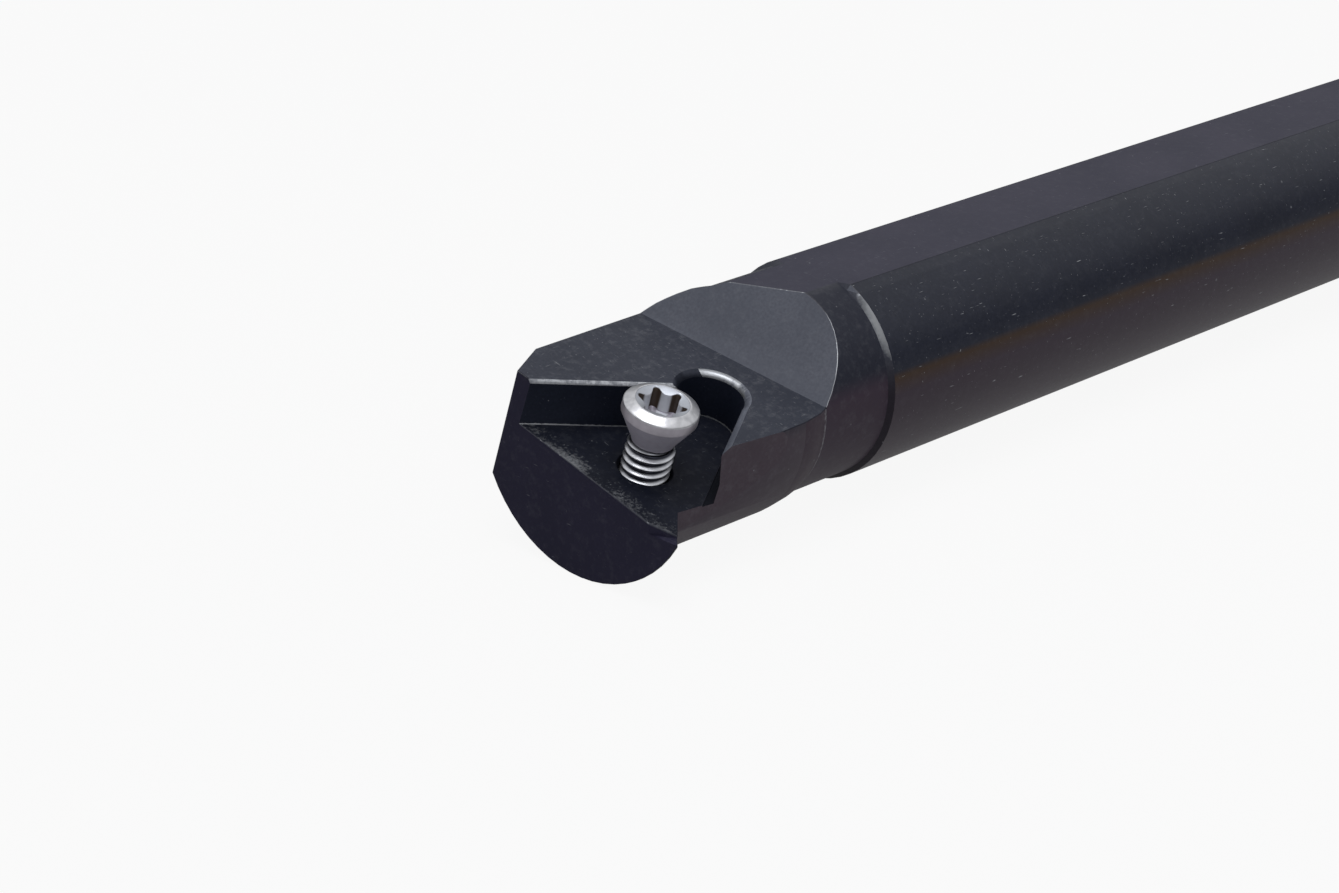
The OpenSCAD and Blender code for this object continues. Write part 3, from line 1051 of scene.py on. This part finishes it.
@dataclass
class ClampScrew:
    """The insert's clamping screw: a cone under its head, a six-lobed socket and a rolled thread.

    Heights are measured from the top of the head, downwards negative.
    """

    seat: SeatFrame
    stand: float = 5.45
    head_r: float = 2.59
    head_h: float = 1.1
    crown: float = 0.33
    crown_r: float = 1.95
    rim: float = 0.08
    cone_half_angle: float = 30.0
    neck_r: float = 1.45
    thread_r: float = 1.7
    root_r: float = 1.33
    pitch: float = 0.6
    thread_start: float = 3.2
    thread_gap: float = 0.04
    thread_phase: float = 1.58
    lap: float = 0.06
    fade_from: float = 0.35
    fade_h: float = 0.3
    length: float = 9.0
    end_chamfer: float = 0.4
    socket_r: float = 1.675
    waist_r: float = 1.2
    lobe_r: float = 0.27
    socket_depth: float = 1.6
    mouth: float = 0.18
    segments: int = 144

    def socket_radius(self, angle: float) -> float:
        """The radius of the six-lobed outline: round lobes that run smoothly into round hollows.

        Args:
            angle: The direction from the middle, with a lobe at zero.

        Returns:
            The radius there.
        """
        lobe_at = self.socket_r - self.lobe_r
        half = math.radians(30)
        hollow_r = (
            self.lobe_r**2 - lobe_at**2 - self.waist_r**2 + 2 * lobe_at * self.waist_r * math.cos(half)
        ) / (2 * (self.waist_r - lobe_at * math.cos(half) - self.lobe_r))
        hollow_at = self.waist_r + hollow_r
        share = self.lobe_r / (self.lobe_r + hollow_r)
        touch_x = lobe_at + share * (hollow_at * math.cos(half) - lobe_at)
        touch_y = share * hollow_at * math.sin(half)
        step = math.radians(60)
        off = abs((angle + step / 2) % step - step / 2)
        if off < math.atan2(touch_y, touch_x):
            return lobe_at * math.cos(off) + math.sqrt(
                max(self.lobe_r**2 - (lobe_at * math.sin(off)) ** 2, 0)
            )
        turn = half - off
        return hollow_at * math.cos(turn) - math.sqrt(
            max(hollow_r**2 - (hollow_at * math.sin(turn)) ** 2, 0)
        )

    def place_ring(
        self,
        ring: list[bmesh.types.BMVert],
        radius: Callable[[float], float],
        height: Callable[[float], float],
    ) -> None:
        """Moves a ring's points to their radius and height.

        Args:
            ring: The points, each of which keeps its direction from the axis.
            radius: Gives the radius for a direction.
            height: Gives the height for a radius.
        """
        for vert in ring:
            angle = math.atan2(vert.co.y, vert.co.x)
            out = radius(angle)
            vert.co = (out * math.cos(angle), out * math.sin(angle), height(out))

    def next_ring(
        self, bm: bmesh.types.BMesh, edges: list[bmesh.types.BMEdge]
    ) -> tuple[list[bmesh.types.BMVert], list[bmesh.types.BMEdge]]:
        """Extrudes a ring of edges.

        Args:
            bm: The mesh.
            edges: The ring's edges.

        Returns:
            The new ring's points and edges.
        """
        made = bmesh.ops.extrude_edge_only(bm, edges=edges)["geom"]
        verts = [g for g in made if isinstance(g, bmesh.types.BMVert)]
        rim = [g for g in made if isinstance(g, bmesh.types.BMEdge)]
        inside = set(verts)
        return verts, [e for e in rim if e.verts[0] in inside and e.verts[1] in inside]

    def head(self, bm: bmesh.types.BMesh) -> list[bmesh.types.BMEdge]:
        """Builds the socket, the head, the cone and the neck, ring by ring from the middle out.

        Args:
            bm: The empty mesh.

        Returns:
            The neck's lowest ring of edges.
        """
        mouth_r = self.socket_r + self.mouth
        slope = self.mouth / (mouth_r - self.waist_r - self.mouth)
        cone_h = (self.head_r - self.neck_r) / math.tan(math.radians(self.cone_half_angle))
        floor_z = -self.socket_depth

        def at(level: float) -> Callable[[float], float]:
            """One height all round."""
            return lambda out: level

        def circle(size: float) -> Callable[[float], float]:
            """One radius all round."""
            return lambda angle: size

        def lobes(scale: float) -> Callable[[float], float]:
            """The socket's outline at a scale."""
            return lambda angle: scale * self.socket_radius(angle)

        rings = [
            # The socket's floor and walls
            (circle(0.75), at(floor_z - 0.06)),
            (lobes(0.94), at(floor_z)),
            (lobes(0.98), at(floor_z + 0.06)),
            (lobes(0.995), at(-0.5)),
            # The dished mouth, whose lobes lie lower than its hollows
            (lobes(1.0), lambda out: -slope * (mouth_r - out) - 0.03),
            (lobes(1.015), lambda out: -slope * (mouth_r - out)),
            (circle(mouth_r - 0.015), at(-0.006)),
            (circle(mouth_r + 0.02), at(0.0)),
            # The flat top, the crown and the rounded rim
            (circle(self.crown_r - 0.04), at(0.0)),
            (circle(self.crown_r + 0.04), at(-0.03)),
            (circle(self.head_r - self.rim - 0.03), at(0.02 - self.crown)),
            (circle(self.head_r - 0.5 * self.rim), at(-self.crown - 0.3 * self.rim)),
            (circle(self.head_r - 0.12 * self.rim), at(-self.crown - 0.9 * self.rim)),
            # The band round the head
            (circle(self.head_r), at(-self.crown - 1.8 * self.rim)),
            (circle(self.head_r), at(0.05 - self.head_h)),
            (circle(self.head_r - 0.01), at(0.01 - self.head_h)),
            # The cone and the neck
            (circle(self.head_r - 0.04), at(-self.head_h - 0.03)),
            (circle(self.neck_r + 0.05), at(-self.head_h - cone_h + 0.09)),
            (circle(self.neck_r), at(-self.head_h - cone_h - 0.03)),
            (circle(self.neck_r), at(self.lap - self.thread_start)),
        ]
        hub_r = 0.3
        start = bmesh.ops.create_circle(bm, cap_ends=False, segments=self.segments, radius=hub_r)
        first = start["verts"]
        edges = list({e for v in first for e in v.link_edges})
        self.place_ring(first, circle(hub_r), at(floor_z - 0.2))
        ring = edges
        for radius, height in rings:
            verts, ring = self.next_ring(bm, ring)
            self.place_ring(verts, radius, height)
        middle, _ = self.next_ring(bm, edges)
        bmesh.ops.pointmerge(bm, verts=middle, merge_co=(0, 0, floor_z - 0.3))
        return ring

    def thread_outline(self, count: int) -> list[tuple[float, float]]:
        """The rolled thread's outline as heights and depths under the crests, bottom to top.

        Args:
            count: How many turns.

        Returns:
            Pairs of height and depth, in parts of the pitch and of the full depth.
        """
        turn = [
            (0.0, 1.0), (0.06, 0.97), (0.125, 0.86), (0.41, 0.12), (0.45, 0.03),
            (0.5, 0.0), (0.55, 0.03), (0.59, 0.12), (0.875, 0.86), (0.94, 0.97),
        ]
        return [(number + z, deep) for number in range(count) for z, deep in turn]

    def thread(self, bm: bmesh.types.BMesh) -> None:
        """Spins the thread's outline up its helix, and runs it out at the neck and at the end.

        Args:
            bm: The mesh that the thread joins, with open rings at both ends.
        """
        bottom = -self.length
        top = self.lap - self.thread_start - self.thread_gap
        first = bottom - self.thread_phase * self.pitch
        count = math.ceil((top - first) / self.pitch) + 1
        outline = self.thread_outline(count)
        chain = [
            bmesh.ops.create_vert(
                bm, co=(self.thread_r - deep * (self.thread_r - self.root_r), 0, first + z * self.pitch)
            )["vert"][0]
            for z, deep in outline
        ]
        edges = [bm.edges.new(pair) for pair in zip(chain, chain[1:])]
        steps = self.segments
        bmesh.ops.spin(
            bm, geom=chain + edges, cent=(0, 0, 0), axis=(0, 0, 1),
            dvec=(0, 0, self.pitch / steps), angle=2 * math.pi, steps=steps, use_merge=False,
        )
        bmesh.ops.remove_doubles(bm, verts=[v for v in bm.verts if not v.tag], dist=1e-4)
        for vert in bm.verts:
            if vert.tag:
                continue
            angle = math.atan2(vert.co.y, vert.co.x)
            out = self.run_out(math.hypot(vert.co.x, vert.co.y), vert.co.z)
            vert.co.x = out * math.cos(angle)
            vert.co.y = out * math.sin(angle)
        for level, upward in ((top, 1), (bottom, -1)):
            own = [f for f in bm.faces if not any(v.tag for v in f.verts)]
            geom = list({g for f in own for g in (f, *f.verts, *f.edges)})
            bmesh.ops.bisect_plane(
                bm, geom=geom, dist=1e-5, plane_co=(0, 0, level), plane_no=(0, 0, upward),
                clear_outer=True,
            )

    def run_out(self, out: float, height: float) -> float:
        """Runs the thread out into the neck, and cuts it by the end chamfer.

        Args:
            out: The radius of a point of the thread.
            height: Its height.

        Returns:
            Its new radius.
        """
        fade = min(max((height + self.thread_start + self.fade_from) / self.fade_h, 0), 1)
        ceiling = self.thread_r + (self.neck_r - self.thread_r) * fade
        floor = self.root_r + (self.neck_r - self.root_r) * fade
        end = self.thread_r - self.end_chamfer + (height + self.length)
        return min(max(min(out, ceiling), floor), end)

    def build(self) -> bpy.types.Object:
        """Builds the whole screw as one closed mesh on its seat.

        Returns:
            The finished piece.
        """
        bm = bmesh.new()
        self.head(bm)
        for vert in bm.verts:
            vert.tag = True
        self.thread(bm)
        loose = [e for e in bm.edges if not e.link_faces]
        bmesh.ops.delete(bm, geom=loose, context="EDGES")
        rims = [e for e in bm.edges if e.is_boundary]
        end_zone = 0.5 - self.length
        low = [e for e in rims if e.verts[0].co.z < end_zone]
        high = [e for e in rims if e.verts[0].co.z >= end_zone]
        bmesh.ops.bridge_loops(bm, edges=high)
        bmesh.ops.holes_fill(bm, edges=low, sides=0)
        bmesh.ops.recalc_face_normals(bm, faces=bm.faces)
        place = Matrix.Diagonal((MM, MM, MM, 1)) @ self.seat.matrix()
        bmesh.ops.transform(bm, matrix=place @ Matrix.Translation((0, 0, self.stand)), verts=bm.verts)
        if bm.calc_volume(signed=True) < 0:
            bmesh.ops.reverse_faces(bm, faces=bm.faces)
        order = list(Zone)
        for face in bm.faces:
            face.smooth = True
            face.material_index = order.index(self.zone_of(face))
        open_edges = sum(not e.is_manifold for e in bm.edges)
        piece = add_piece(bm, "insert_screw_dressed", 38)
        LOG.info("%s: %d faces, %d open edges", piece.name, len(piece.data.polygons), open_edges)
        return piece

    def zone_of(self, face: bmesh.types.BMFace) -> Zone:
        """Tells which zone of the screw a face lies in.

        Args:
            face: A face of the placed mesh, in metres.

        Returns:
            The zone.
        """
        spot = self.seat.local(face.calc_center_median() / MM)
        out = math.hypot(spot.x, spot.y)
        down = spot.z - self.stand
        if down < 0.05 - self.thread_start:
            return Zone.THREAD
        if down < -self.head_h:
            return Zone.SOCKET if out < 0.9 * self.waist_r else Zone.CONE
        if out < self.socket_r + 0.02 and down < -self.mouth:
            return Zone.SOCKET
        if out < self.socket_r + self.mouth:
            return Zone.MOUTH
        return Zone.BAND if down < -self.crown - 1.5 * self.rim else Zone.CROWN

    def finishes(self) -> dict[Zone, SteelFinish]:
        """The finish of each zone."""
        return {
            # Struck top: bright satin steel, mottled
            Zone.CROWN: SteelFinish(
                "struck_screw_steel", "#bcbdc1", "#8d8e93", roughness=0.32, mottle=0.7
            ),
            # Dished mouth: pale, with a grey line round its rim
            Zone.MOUTH: SteelFinish(
                "mouth_screw_steel", "#a4a8b0", "#8b8f98", roughness=0.35,
                tint="#5d6069", tint_from=1.79, tint_to=1.85,
            ),
            # Punched socket: pale hollows, a painted reflection of the light above, and brown painted
            # shade in the lobes
            Zone.SOCKET: SteelFinish(
                "socket_steel_painted_light_and_shade", "#c6c9d1", "#b2b5bd", roughness=0.4, metal=0.3,
                tint="#453a33", tint_from=1.27, tint_to=1.4,
            ),
            # The head's side, as forged: matt light grey
            Zone.BAND: SteelFinish("matt_screw_steel", "#ada9b1", "#928f98", roughness=0.5),
            # Cone and neck: darker and matt, painted shade under the head
            Zone.CONE: SteelFinish(
                "cone_steel_painted_shade", "#a8a5b2", "#918f9b", roughness=0.55, metal=0.6
            ),
            # Rolled thread: bright crests over dark roots, painted shade
            Zone.THREAD: SteelFinish(
                "rolled_steel_painted_shade", "#bcbec4", "#95979d", roughness=0.3,
                tint="#2c2d35", tint_from=1.62, tint_to=1.42,
            ),
        }

    def mount(self) -> None:
        """Builds and dresses the screw, and puts it in place of its CAD node."""
        piece = self.build()
        finishes = self.finishes()
        for zone in Zone:
            piece.data.materials.append(finishes[zone].build(self.seat))
        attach(piece, "screw")
        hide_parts("insert_screw")


@dataclass
class Studio:
    """A plain pale floor, soft lamps and the camera that took the photograph."""

    floor_size: float = 6.0
    floor_colour: str = "#b4b4b6"
    focal_px: float = 3248.0
    eye_mm: tuple[float, float, float] = (-166.364, -134.671, 81.627)
    right: tuple[float, float, float] = (0.67676, -0.73457, 0.04892)
    down: tuple[float, float, float] = (-0.24983, -0.29166, -0.92332)
    forward: tuple[float, float, float] = (0.69251, 0.61265, -0.38090)
    fill: float = 0.34
    floor_glow: float = 0.92
    floor_gloss: float = 0.3
    gloom: float = 0.1
    gloom_from: float = 0.1
    gloom_to: float = 0.5

    def camera(self) -> None:
        """Puts the camera where the photograph was taken, with its lens."""
        data = bpy.data.cameras.new("camera")
        data.sensor_width = SENSOR_WIDTH
        data.lens = self.focal_px / PHOTO_WIDTH * SENSOR_WIDTH
        data.clip_start = 0.005
        data.clip_end = 50.0
        camera = bpy.data.objects.new("camera", data)
        bpy.context.scene.collection.objects.link(camera)
        turn = Matrix((self.right, -Vector(self.down), -Vector(self.forward))).transposed()
        camera.matrix_world = Matrix.Translation(Vector(self.eye_mm) * MM) @ turn.to_4x4()
        bpy.context.scene.camera = camera

    def by_ray(
        self, tree: bpy.types.NodeTree, even: float, gloss: object, seen: float
    ) -> bpy.types.NodeSocket:
        """Chooses a strength by the kind of ray.

        Args:
            tree: The node tree.
            even: The strength for diffuse light.
            gloss: The strength, or the socket with it, that reflections see.
            seen: The strength that the camera sees, also through glass.

        Returns:
            The strength.
        """
        rays = add_node(tree, "ShaderNodeLightPath").outputs
        mirrored = add_node(
            tree, "ShaderNodeMapRange",
            {"Value": rays["Is Glossy Ray"], "To Min": even, "To Max": gloss},
        ).outputs["Result"]
        direct = add_node(
            tree, "ShaderNodeMath", {0: rays["Is Camera Ray"], 1: rays["Is Transmission Ray"]},
            operation="MAXIMUM",
        ).outputs[0]
        return add_node(
            tree, "ShaderNodeMapRange", {"Value": direct, "To Min": mirrored, "To Max": seen}
        ).outputs["Result"]

    def world(self) -> None:
        """A soft even fill that shows as white, and that reflections see darker near the horizon."""
        world = bpy.data.worlds.new("studio")
        world.use_nodes = True
        tree = world.node_tree
        tree.nodes.clear()
        way = add_node(tree, "ShaderNodeTexCoord").outputs["Generated"]
        height = add_node(tree, "ShaderNodeSeparateXYZ", {0: way}).outputs["Z"]
        mirrored = add_node(
            tree, "ShaderNodeMapRange",
            {"Value": height, "From Min": self.gloom_from, "From Max": self.gloom_to,
             "To Min": self.gloom},
            interpolation_type="SMOOTHSTEP",
        ).outputs["Result"]
        strength = self.by_ray(tree, self.fill, mirrored, 1.0)
        sky = add_node(
            tree, "ShaderNodeBackground", {"Color": WHITE, "Strength": strength}
        )
        add_node(tree, "ShaderNodeOutputWorld", {"Surface": sky.outputs[0]})
        bpy.context.scene.world = world

    def floor(self) -> None:
        """A pale floor under the bar, near enough to white that only a soft shadow is left."""
        bm = bmesh.new()
        bmesh.ops.create_grid(bm, x_segments=1, y_segments=1, size=self.floor_size / 2)
        bmesh.ops.translate(bm, verts=bm.verts, vec=(0, 0, cad_box[0].z))
        material, tree = empty_material("pale_floor")
        matt = add_node(
            tree, "ShaderNodeBsdfDiffuse", {"Color": linear(self.floor_colour)}
        ).outputs[0]
        glow = add_node(tree, "ShaderNodeEmission", {"Color": WHITE}).outputs[0]
        share = self.by_ray(tree, 0.0, self.floor_gloss, self.floor_glow)
        both = add_node(tree, "ShaderNodeMixShader", {0: share, 1: matt, 2: glow}).outputs[0]
        add_node(tree, "ShaderNodeOutputMaterial", {"Surface": both})
        floor = add_piece(bm, "floor", 30)
        floor.data.materials.append(material)

    def lamp(self, name: str, place: tuple[float, float, float], size: float, watts: float) -> None:
        """Adds a square soft lamp that faces the head of the holder.

        Args:
            name: The lamp's name.
            place: Where it hangs, in metres.
            size: The length of its side, in metres.
            watts: Its power.
        """
        data = bpy.data.lights.new(name, "AREA")
        data.shape = "SQUARE"
        data.size = size
        data.energy = watts
        lamp = bpy.data.objects.new(name, data)
        bpy.context.scene.collection.objects.link(lamp)
        lamp.location = place
        lamp.rotation_mode = "QUATERNION"
        lamp.rotation_quaternion = (-Vector(place)).to_track_quat("-Z", "Y")

    def build(self) -> None:
        """Sets the camera, the floor, the world and the lamps."""
        self.camera()
        self.floor()
        self.world()
        # High over the head, for the top faces
        self.lamp("key", (-0.12, -0.08, 0.6), 0.45, 2.4)
        # Low in front of the cutting side, for the end face and the screw
        self.lamp("side", (-0.3, -0.55, 0.3), 0.35, 0.5)
        bpy.context.scene.view_settings.view_transform = "Standard"


def main() -> None:
    """Builds the holder piece by piece and the studio round it."""
    logging.basicConfig(level=logging.INFO)
    seat = SeatFrame()
    Studio().build()
    HolderBar(seat).mount()
    ClampScrew(seat).mount()


if __name__ == "__main__":
    main()
